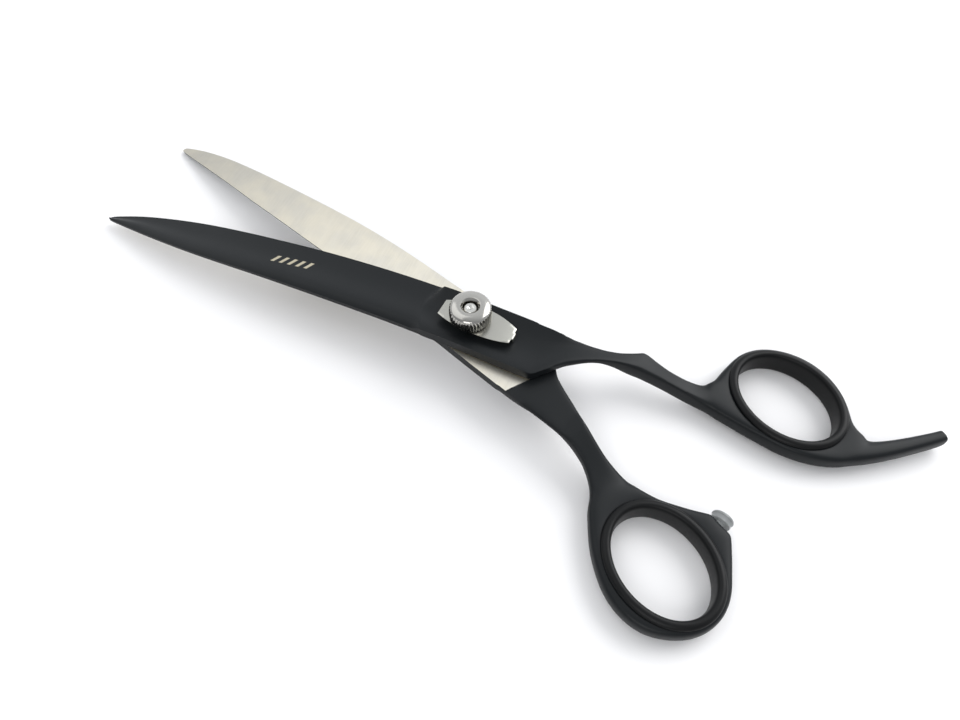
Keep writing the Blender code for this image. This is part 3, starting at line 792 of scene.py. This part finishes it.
def half_body(half, rest_strip=()):
    """Draws a half's plan out of the edge of its ring's hole, then gives it its thickness."""
    stations, inside = ring_stations(half)
    hole_margin = INSERT_WALL + SEAT
    insets = [min(RIM_INSET, RIM_SHARE * (metal - hole_margin)) for _, metal in stations]
    heights = []

    def placed(points):
        heights.extend(points)
        return [put(x, y, 0, half.side) for x, y, _, _ in points]

    hole = [ring_point(half, d, hole_margin, RIM_INSET / 2) for d, _ in stations]
    piece, loop = start_loop(half.name + "_body", placed(hole))
    inner, middle, outer = [], [], []
    for (d, metal), inset, within in zip(stations, insets, inside):
        inner.append(ring_point(half, d, hole_margin + inset, 0.0))
        middle.append(ring_point(half, d, metal - inset, 0.0))
        outer.append(ring_point(half, d, metal, 0.0 if within else RIM_DROP * inset))
    for points in (inner, middle, outer):
        loop = draw_out(piece, loop, placed(points), closed=True)
    chain = [loop[0], loop[-1], loop[-2], loop[-3]]
    shank_xs = [row[0] for row in half.sides]
    between = [(a + b) / 2 for a, b in zip(shank_xs, shank_xs[1:]) if b - a > 2.5]
    shank_xs = sorted(shank_xs + between + [HEEL_X + 0.5, *half.step])
    shank_xs = [x for x, after in zip(shank_xs, shank_xs[1:] + [1e9]) if after - x > 0.3]
    for x in reversed(shank_xs):
        chain = draw_out(piece, chain, placed(shank_row(half, x)))
    blade_xs = [HEEL_END, HEEL_START, FACET_START, HEEL_X - 4, HEEL_X - 6.5, HEEL_X - 8.5]
    for i in range(BLADE_STATIONS):
        share = (i / (BLADE_STATIONS - 1)) ** STATION_SPACING
        blade_xs.append(mix(HEEL_X - 11, half.blade[0][0], share))
    for x in blade_xs:
        chain = draw_out(piece, chain, placed(blade_row(half, x)))
    first = len(rounded_path(half.ring[0], 2)) - 1
    chain = loop[first : first + 4]
    for upper, lower in rest_strip:
        row = []
        for share, rim in REST_COLUMNS:
            x, y = mix(upper[0], lower[0], share), mix(upper[1], lower[1], share)
            row.append((x, y, WEB_BOTTOM + rim, WEB_TOP - rim))
        chain = draw_out(piece, chain, placed(row))
    thicken(piece, heights)
    return piece


def thicken(piece, heights):
    """Extrudes the plan into a solid, then lifts each vertex to its bottom or top height."""

    def plan(vert):
        return tuple(round(c / MM, 3) for c in vert.co.xy)

    by_plan = {}
    for vert, (_, _, inner, outer) in zip(cage(piece).verts, heights):
        by_plan[plan(vert)] = (min(inner, outer), max(inner, outer))
    bpy.ops.mesh.select_all(action="SELECT")
    bpy.ops.mesh.extrude_region()
    for vert in cage(piece).verts:
        low, high = by_plan[plan(vert)]
        vert.co.z = (high if vert.select else low) * MM
    bmesh.update_edit_mesh(piece.data)


def crease_half(piece, half):
    """Keeps the blade's and ricasso's edges sharp, and lets them soften along the shank."""
    shape = cage(piece)
    crease = shape.edges.layers.float.new("crease_edge")
    turn = radians(OPENING) if half.side < 0 else 0.0
    for edge in shape.edges:
        middle = (edge.verts[0].co + edge.verts[1].co) / 2 / MM
        x = (middle.x - PIVOT_X) * cos(turn) - (middle.y - PIVOT_Y) * sin(turn)
        angle = edge.calc_face_angle(0.0)
        if x <= CREASE_END and angle >= radians(FLAT_ANGLE):
            fade = 1 - smoothstep(x, CREASE_START, CREASE_END)
            edge[crease] = fade * min(1.0, LEAST_CREASE + angle)
    bmesh.update_edit_mesh(piece.data)


def bare_faces(piece, half):
    """Cuts the mesh where the ground inner face ends, and gives that face the second material."""
    x, slant = half.ride_end
    side_y = -9.2
    start_place = put(x, side_y, 0, half.side)
    line = (put(x + slant, side_y + 1, 0, half.side) - start_place).normalized()
    across = Vector((line.y, -line.x, 0))
    bpy.ops.object.select_all(action="DESELECT")
    piece.select_set(True)
    bpy.context.view_layer.objects.active = piece
    bpy.ops.object.mode_set(mode="EDIT")
    bpy.ops.mesh.select_all(action="SELECT")
    bpy.ops.mesh.bisect(plane_co=start_place, plane_no=across)
    bpy.ops.object.mode_set(mode="OBJECT")
    for face in piece.data.polygons:
        on_blade = (face.center - start_place).dot(across) < 0
        if on_blade and face.normal.z * half.side < -0.6:
            face.material_index = 1


# ---- Round and small pieces ------------------------------------------------------------


def start_loop(name, places):
    """Starts a piece with a closed loop of edges through places, and returns it with the loop."""
    add = bpy.ops.mesh.primitive_circle_add
    piece = start(name, add, vertices=len(places), radius=0.01)
    for vert, place in zip(cage(piece).verts, places):
        vert.co = place
    return piece, list(range(len(places)))


def ring_insert(name, half):
    """Soft ring whose lips cover both faces of the web, drawn as a closed loop round the hole."""
    low, high = LIP_THICKNESS, INSERT_TOP - LIP_THICKNESS
    count = 40
    profile = [
        (0.05, low + 0.6),
        (-0.05, (low + high) / 2),
        (0.05, high - 0.6),
        (0.25, INSERT_TOP - 0.35),
        (0.85, INSERT_TOP),
        (1.6, INSERT_TOP - 0.05),
        (INSERT_LIP - 0.15, INSERT_TOP - 0.4),
        (INSERT_LIP + 0.1, WEB_TOP + 0.2),
        (INSERT_LIP - 0.05, WEB_TOP + LIP_GAP),
        (INSERT_LIP - 0.5, WEB_TOP + LIP_GAP),
        (INSERT_WALL, WEB_TOP + LIP_GAP),
        (INSERT_WALL, low),
        (INSERT_LIP - 0.2, low),
        (INSERT_LIP, low - 0.15),
        (INSERT_LIP - 0.35, 0.0),
        (0.7, 0.0),
        (0.2, 0.25),
    ]
    loops = []
    for margin, z in profile + profile[:1]:
        outline = [round_hole(half.centre, half.turn, i, count, margin) for i in range(count)]
        loops.append([put(x, y, z, half.side) for x, y in outline])
    piece, loop = start_loop(name + "_body", loops[0])
    for places in loops[1:]:
        loop = draw_out(piece, loop, places, closed=True)
    close_solid()
    subdivide_smooth(piece)
    return piece


def turned_piece(name, rows, segments=TURNED_SEGMENTS, place=put):
    """A piece turned about an axis, drawn out ring by ring.

    Each row is a radius, a height and how far the ring may reach either side of the axis before
    it is cut flat. A piece with a bore ends on its first row, a solid one on the axis.
    """
    loops = []
    for radius, z, flat in rows:
        places = []
        for step in range(segments):
            angle = 2 * pi * step / segments
            reach = radius(step) if callable(radius) else radius
            y = max(-flat, min(flat, reach * sin(angle)))
            places.append(place(reach * cos(angle), y, z))
        loops.append(places)
    piece, loop = start_loop(name + "_body", loops[0])
    for places in loops[1:]:
        loop = draw_out(piece, loop, places, closed=True)
    close_solid()
    return piece


def round_row(radius, z):
    return (radius, z, NO_FLAT)


def soften(piece, width):
    """Rounds a piece's edges a little, so that they catch the light."""
    limit = {"limit_method": "ANGLE", "angle_limit": radians(SMOOTH_ANGLE)}
    apply_modifier(piece, "BEVEL", width=width * MM, segments=2, **limit)
    shade_smooth(piece, 35)
    apply_modifier(piece, "WEIGHTED_NORMAL", weight=80)


def cut_out(piece, cutter):
    """Takes the cutter's shape out of a piece and removes the cutter."""
    apply_modifier(piece, "BOOLEAN", operation="DIFFERENCE", solver="EXACT", object=cutter)
    bpy.data.objects.remove(cutter)


def drill(piece, radius, low, high, flat=NO_FLAT, place=put):
    """Drills a hole, with flats where flat is less than its radius."""
    rows = [(0, low, flat), (radius, low, flat), (radius, high, flat), (0, high, flat)]
    cut_out(piece, turned_piece("drill", rows, place=place))


def bumper_place(x, y, z):
    """A point drawn about Z, laid along +Y on the thumb half's boss."""
    middle = (WEB_BOTTOM + WEB_TOP) / 2
    return put(BUMPER_CENTRE[0] + x, BUMPER_CENTRE[1] + z, middle - y, -1)


def leaf_place(x, y, z):
    """A point drawn along the leaf plate."""
    turn = radians(LEAF_TURN)
    along_x, along_y = x * cos(turn) - y * sin(turn), x * sin(turn) + y * cos(turn)
    return put(along_x, along_y + LEAF_SHIFT, z)


# ---- Operators -------------------------------------------------------------------------


def colour_setting(name, description, code):
    return bpy.props.FloatVectorProperty(
        name=name,
        description=description,
        subtype="COLOR",
        size=4,
        default=from_hex(code),
        min=0.0,
        max=1.0,
    )


class ShearsSettings(bpy.types.PropertyGroup):
    """What a user would change"""

    knurl_teeth: bpy.props.IntProperty(
        name="Knurl teeth",
        description="Straight ridges round the tension knob",
        default=42,
        min=24,
    )
    coat_colour: colour_setting("Coating", "Colour of the coating on both halves", "#121517")
    rubber_colour: colour_setting("Ring inserts", "Colour of the ring inserts", "#090a0b")
    vinyl_colour: colour_setting("Bumper", "Tint of the translucent bumper", "#b4b7b7")
    light_strength: bpy.props.FloatProperty(
        name="Light", description="Strength of the studio lights", default=1.0, min=0.0
    )


class SHEARS_OT_studio(bpy.types.Operator):
    """Sets up the floor, the soft light and the camera"""

    bl_idname = "shears.studio"
    bl_label = "Studio"

    def execute(self, context):
        settings = context.scene.shears
        bpy.ops.object.select_all(action="DESELECT")
        bpy.ops.mesh.primitive_plane_add(size=6.0, location=(0, 0, -0.0002))
        floor = context.active_object
        floor.name = "floor"
        bpy.ops.object.transform_apply(location=True, rotation=True, scale=True)
        paper, _ = new_material("white sweep paper", from_hex("#f2f1f1"), 0.85)
        floor.data.materials.append(paper)

        world = context.scene.world or bpy.data.worlds.new("studio")
        context.scene.world = world
        world.use_nodes = True
        tree = world.node_tree
        background = tree.nodes["Background"]
        background.inputs["Color"].default_value = from_hex("#eef1f5")
        axes = tree.nodes.new("ShaderNodeSeparateXYZ")
        generated = tree.nodes.new("ShaderNodeTexCoord").outputs["Generated"]
        tree.links.new(generated, axes.inputs["Vector"])
        falloff = tree.nodes.new("ShaderNodeMapRange")
        for key, value in SKY_RANGE.items():
            falloff.inputs[key].default_value = value
        tree.links.new(axes.outputs["Y"], falloff.inputs["Value"])
        tree.links.new(falloff.outputs["Result"], background.inputs["Strength"])

        for name, place, size, power in LIGHTS:
            self.add_light(name, place, size, power * settings.light_strength)

        data = bpy.data.cameras.new("camera")
        data.lens = CAMERA_LENS
        data.sensor_width = 36.0
        data.clip_start = 0.01
        camera = bpy.data.objects.new("camera", data)
        context.scene.collection.objects.link(camera)
        camera.location = put(*CAMERA_PLACE)
        camera.rotation_euler = (radians(CAMERA_TILT), 0, radians(CAMERA_TURN))
        context.scene.camera = camera
        context.scene.view_settings.view_transform = "Standard"
        return {"FINISHED"}

    def add_light(self, name, place, size, power):
        data = bpy.data.lights.new(name, "AREA")
        data.energy = power
        data.size = size
        light = bpy.data.objects.new(name, data)
        bpy.context.scene.collection.objects.link(light)
        light.location = place
        light.rotation_euler = (-Vector(place)).to_track_quat("-Z", "Y").to_euler()


class SHEARS_OT_finger_half(bpy.types.Operator):
    """Models the finger half: blade, shank, ring and finger rest in one forging"""

    bl_idname = "shears.finger_half"
    bl_label = "Finger half"

    def execute(self, context):
        piece = half_body(FINGER, REST_STRIP)
        crease_half(piece, FINGER)
        close_solid()
        subdivide_smooth(piece)
        bare_faces(piece, FINGER)
        bore, recess = BOLT_RADIUS + SEAT, GLIDE_RADIUS + GAP
        recess_top = CONTACT_Z - GAP / 2 + 2 * SEAT + FLANGE_THICKNESS
        drill(piece, bore, 9, 14, flat=BOLT_FLAT + SEAT)
        drill(piece, recess, 9, recess_top)
        slot = start("slot", bpy.ops.mesh.primitive_cube_add, size=2.0)
        for vert in cage(slot).verts:
            back = LEAF_FRONT - LEAF_THICKNESS - SEAT
            x = mix(back, LEAF_FRONT + SLOT_LENGTH, (vert.co.x + 1) / 2)
            z = mix(FLAT_TOP - TAB_DEPTH - SEAT, FLAT_TOP + 1, (vert.co.z + 1) / 2)
            vert.co = leaf_place(x, vert.co.y * (TAB_HALF_WIDTH + SLOT_SIDE_GAP), z)
        close_solid()
        cut_out(piece, slot)
        colour = context.scene.shears.coat_colour
        materials = [
            etch_strokes(satin_black_coat("satin black coating, finger half", colour)),
            ground_steel("ground stainless steel, finger half", FINGER),
        ]
        finish_piece(piece, FINGER_BODY, ["finger_half"], materials)
        return {"FINISHED"}


class SHEARS_OT_thumb_half(bpy.types.Operator):
    """Models the thumb half: blade, shank, ring and the boss for the bumper"""

    bl_idname = "shears.thumb_half"
    bl_label = "Thumb half"

    def execute(self, context):
        piece = half_body(THUMB)
        crease_half(piece, THUMB)
        close_solid()
        subdivide_smooth(piece)
        bare_faces(piece, THUMB)
        bore, recess = BUSH_RADIUS + SEAT, BUSH_FLANGE_RADIUS + SEAT
        drill(piece, bore, 6, 11)
        drill(piece, recess, 6, FLAT_BOTTOM + FLANGE_THICKNESS + SEAT)
        drill(piece, STEM_RADIUS + SEAT, -STEM_HOLE_DEPTH, 2, place=bumper_place)
        colour = context.scene.shears.coat_colour
        materials = [
            satin_black_coat("satin black coating, thumb half", colour),
            ground_steel("ground stainless steel, thumb half", THUMB),
        ]
        finish_piece(piece, THUMB_BODY, ["thumb_half"], materials)
        return {"FINISHED"}


class SHEARS_OT_ring_inserts(bpy.types.Operator):
    """Models the soft inserts of both rings"""

    bl_idname = "shears.ring_inserts"
    bl_label = "Ring inserts"

    def execute(self, context):
        colour = context.scene.shears.rubber_colour
        for name, half, body in (
            ("finger_ring_insert", FINGER, FINGER_BODY),
            ("thumb_ring_insert", THUMB, THUMB_BODY),
        ):
            piece = ring_insert(name, half)
            rubber = silicone_rubber("silicone rubber, " + name, colour)
            finish_piece(piece, body, [name], [rubber])
        return {"FINISHED"}


class SHEARS_OT_bolt(bpy.types.Operator):
    """Models the pivot bolt: flat head, round shoulder, flats for the finger half, and thread"""

    bl_idname = "shears.bolt"
    bl_label = "Pivot bolt"

    def execute(self, context):
        head_top = BOLT_LOW + BOLT_HEAD_HEIGHT
        flats_low = CONTACT_Z + GAP / 2
        flats_high = KNOB_LOW + THRUST_THICKNESS
        thread = THREAD_RADIUS
        rows = [
            round_row(0, BOLT_LOW),
            round_row(BOLT_HEAD_RADIUS - 0.5, BOLT_LOW),
            round_row(BOLT_HEAD_RADIUS - 0.15, BOLT_LOW + 0.12),
            round_row(BOLT_HEAD_RADIUS, BOLT_LOW + 0.45),
            round_row(BOLT_HEAD_RADIUS, head_top),
            round_row(BOLT_RADIUS, head_top),
            round_row(BOLT_RADIUS, flats_low),
            (BOLT_RADIUS, flats_low, BOLT_FLAT),
            (BOLT_RADIUS, flats_high, BOLT_FLAT),
            round_row(thread, flats_high),
        ]
        height = flats_high
        while height < BOLT_TOP - 0.95:
            rows.append(round_row(thread, height + 0.2))
            rows.append(round_row(thread - THREAD_DEPTH, height + 0.35))
            height += THREAD_PITCH
        rows += [
            round_row(thread, BOLT_TOP - 0.4),
            round_row(thread - 0.12, BOLT_TOP - 0.2),
            round_row(thread - 0.35, BOLT_TOP),
            round_row(0.55, BOLT_TOP),
            round_row(0.4, BOLT_TOP - 0.12),
            round_row(0, BOLT_TOP - 0.4),
        ]
        piece = turned_piece("pivot_bolt", rows)
        soften(piece, 0.04)
        steel = turned_steel("turned stainless steel, pivot bolt", "#c4c3bf", 0.26)
        finish_piece(piece, FINGER_BODY, ["pivot_bolt"], [steel])
        return {"FINISHED"}


class SHEARS_OT_bush_and_washers(bpy.types.Operator):
    """Models the flanged bush, the glide washer between the halves and the washer under the knob"""

    bl_idname = "shears.bush_and_washers"
    bl_label = "Bush and washers"

    def execute(self, context):
        inner = BOLT_RADIUS + GAP
        bush_top = CONTACT_Z - GAP / 2 - 0.1
        rows = [
            round_row(inner, FLAT_BOTTOM),
            round_row(inner, bush_top),
            round_row(BUSH_RADIUS, bush_top),
            round_row(BUSH_RADIUS, FLAT_BOTTOM + FLANGE_THICKNESS),
            round_row(BUSH_FLANGE_RADIUS, FLAT_BOTTOM + FLANGE_THICKNESS),
            round_row(BUSH_FLANGE_RADIUS, FLAT_BOTTOM),
            round_row(inner, FLAT_BOTTOM),
        ]
        bush = turned_piece("pivot_bush", rows)
        soften(bush, 0.08)
        nylon = moulded_plastic("moulded natural nylon", "#d9d5c9")
        finish_piece(bush, THUMB_BODY, ["pivot_bush"], [nylon])

        low = CONTACT_Z - GAP / 2 + SEAT
        glide = self.washer("glide_washer", inner, NO_FLAT, GLIDE_RADIUS, low, FLANGE_THICKNESS)
        acetal = moulded_plastic("stamped white acetal", "#e6e5e1")
        finish_piece(glide, FINGER_BODY, ["glide_washer"], [acetal])

        hole, flat = BOLT_RADIUS + SEAT, BOLT_FLAT + SEAT
        size = (THRUST_RADIUS, KNOB_LOW, THRUST_THICKNESS)
        thrust = self.washer("thrust_washer", hole, flat, *size)
        steel = polished_steel("rolled spring steel, washer", "#b4b4b1", 0.3)
        finish_piece(thrust, WASHER_BODY, ["thrust_washer"], [steel])
        return {"FINISHED"}

    def washer(self, name, hole, flat, radius, low, thickness):
        high = low + thickness
        rows = [
            (hole, low, flat),
            (hole, high, flat),
            round_row(radius, high),
            round_row(radius, low),
            (hole, low, flat),
        ]
        piece = turned_piece(name, rows)
        soften(piece, 0.06)
        return piece


class SHEARS_OT_tension_knob(bpy.types.Operator):
    """Models the tension knob: straight knurl, rounded polished top and a countersunk hole"""

    bl_idname = "shears.tension_knob"
    bl_label = "Tension knob"

    def execute(self, context):
        teeth = context.scene.shears.knurl_teeth

        def tooth(depth, radius):
            return lambda step: radius - depth * (0, 0.5, 1, 0.5)[step % 4]

        bore = THREAD_RADIUS + SEAT
        recess = THRUST_RADIUS + GAP
        recess_top = KNOB_LOW + THRUST_THICKNESS + SEAT
        flat_radius, shoulder_radius = KNOB_RADIUS - KNOB_SHOULDER, KNOB_RADIUS - 0.05
        rows = [
            round_row(bore, recess_top),
            round_row(bore, KNOB_TOP - 0.62),
            round_row(bore + 0.04, KNOB_TOP - 0.55),
            round_row(2.28, KNOB_TOP - 0.12),
            round_row(2.36, KNOB_TOP - 0.02),
            round_row(2.46, KNOB_TOP),
        ]
        for step, runout in enumerate(KNURL_RUNOUT):
            angle = pi / 2 * step / (len(KNURL_RUNOUT) - 1)
            radius = mix(flat_radius, shoulder_radius, sin(angle))
            rows.append(round_row(tooth(runout, radius), mix(KNURL_TOP, KNOB_TOP, cos(angle))))
        rows += [
            round_row(tooth(KNURL_DEPTH, KNOB_RADIUS), KNURL_TOP - 0.2),
            round_row(tooth(KNURL_DEPTH, KNOB_RADIUS), KNOB_LOW + 0.32),
            round_row(KNOB_RADIUS - 0.3, KNOB_LOW + 0.08),
            round_row(KNOB_RADIUS - 0.42, KNOB_LOW),
            round_row(recess, KNOB_LOW),
            round_row(recess, recess_top),
            round_row(bore, recess_top),
        ]
        piece = turned_piece("tension_knob", rows, teeth * 4)
        shade_smooth(piece, 28)
        plating = polished_steel("bright nickel plating, tension knob", "#adaba6", 0.15)
        finish_piece(piece, KNOB_BODY, ["tension_knob"], [plating])
        return {"FINISHED"}


class SHEARS_OT_leaf_plate(bpy.types.Operator):
    """Models the bowed leaf spring plate with the tab that keys it to the finger half"""

    bl_idname = "shears.leaf_plate"
    bl_label = "Leaf spring plate"

    def execute(self, context):
        columns, across = 28, 8
        piece = start(
            "leaf_spring_plate_body",
            bpy.ops.mesh.primitive_grid_add,
            x_subdivisions=columns,
            y_subdivisions=across,
            size=2.0,
        )
        middle, reach = (LEAF_FRONT + LEAF_BACK) / 2, (LEAF_FRONT - LEAF_BACK) / 2
        top = LEAF_LOW + LEAF_THICKNESS
        front = []
        for vert in cage(piece).verts:
            share, width_share = vert.co.x, vert.co.y
            half_width = mix(LEAF_HALF_WIDTH, LEAF_END_HALF_WIDTH, abs(share) ** 2.2)
            height = top + LEAF_BOW * (1 - share**2)
            if share > 0.999 and abs(width_share) < 0.51:
                front.append((width_share, vert.index))
            vert.co = leaf_place(middle + reach * share, half_width * width_share, height)
        chain = [index for _, index in sorted(front)]
        last = len(chain) - 1
        ys = [mix(-TAB_HALF_WIDTH, TAB_HALF_WIDTH, i / last) for i in range(last + 1)]
        for ahead, drop in ((0.22, 0.03), (0.38, 0.14), (0.46, 0.34), (0.48, 0.7), (0.48, 1.5)):
            places = [leaf_place(LEAF_FRONT + ahead, y, top - drop) for y in ys]
            chain = draw_out(piece, chain, places)
        bpy.ops.mesh.select_all(action="SELECT")
        bpy.ops.mesh.normals_make_consistent(inside=False)
        shape = cage(piece)
        if max(shape.faces, key=lambda face: face.calc_area()).normal.z < 0:
            bpy.ops.mesh.flip_normals()
        bpy.ops.object.mode_set(mode="OBJECT")
        apply_modifier(piece, "SOLIDIFY", thickness=LEAF_THICKNESS * MM, offset=-1.0)
        drill(piece, BOLT_RADIUS + SEAT, 11, 16)
        soften(piece, 0.03)
        steel = polished_steel("polished spring steel, leaf plate", "#a9a8a1", 0.24)
        finish_piece(piece, FINGER_BODY, ["leaf_spring_plate"], [steel])
        return {"FINISHED"}


class SHEARS_OT_bumper(bpy.types.Operator):
    """Models the soft bumper that the rings close on"""

    bl_idname = "shears.bumper"
    bl_label = "Bumper"

    def execute(self, context):
        rows = [
            round_row(0, -3.3),
            round_row(0.85, -3.3),
            round_row(STEM_RADIUS, -3.05),
            round_row(STEM_RADIUS, 0.12),
            round_row(2.35, 0.12),
            round_row(2.45, 0.25),
            round_row(2.43, 1.15),
            round_row(2.5, 1.3),
            round_row(2.6, 1.4),
            round_row(2.6, 1.72),
            round_row(2.5, BUMPER_PROUD - 0.06),
            round_row(2.3, BUMPER_PROUD),
            round_row(1.3, BUMPER_PROUD - 0.02),
            round_row(0, BUMPER_PROUD - 0.05),
        ]
        piece = turned_piece("bumper", rows, 48, bumper_place)
        shade_smooth(piece, 35)
        vinyl = clear_vinyl("smoky translucent vinyl", context.scene.shears.vinyl_colour)
        finish_piece(piece, THUMB_BODY, ["bumper"], [vinyl])
        return {"FINISHED"}


class SHEARS_PT_panel(bpy.types.Panel):
    """Lists the shears' pieces"""

    bl_label = "Shears"
    bl_idname = "SHEARS_PT_panel"
    bl_space_type = "VIEW_3D"
    bl_region_type = "UI"
    bl_category = "Shears"

    def draw(self, context):
        for operator in OPERATORS:
            self.layout.operator(operator.bl_idname)
        for name in ShearsSettings.__annotations__:
            self.layout.prop(context.scene.shears, name)


OPERATORS = (
    SHEARS_OT_studio,
    SHEARS_OT_finger_half,
    SHEARS_OT_thumb_half,
    SHEARS_OT_ring_inserts,
    SHEARS_OT_bolt,
    SHEARS_OT_bush_and_washers,
    SHEARS_OT_leaf_plate,
    SHEARS_OT_tension_knob,
    SHEARS_OT_bumper,
)


def register():
    for cls in (ShearsSettings, *OPERATORS, SHEARS_PT_panel):
        bpy.utils.register_class(cls)
    bpy.types.Scene.shears = bpy.props.PointerProperty(type=ShearsSettings)


def unregister():
    del bpy.types.Scene.shears
    for cls in reversed((ShearsSettings, *OPERATORS, SHEARS_PT_panel)):
        bpy.utils.unregister_class(cls)


def main():
    register()
    for operator in OPERATORS:
        group, name = operator.bl_idname.split(".")
        getattr(getattr(bpy.ops, group), name)()


if __name__ == "__main__":
    main()
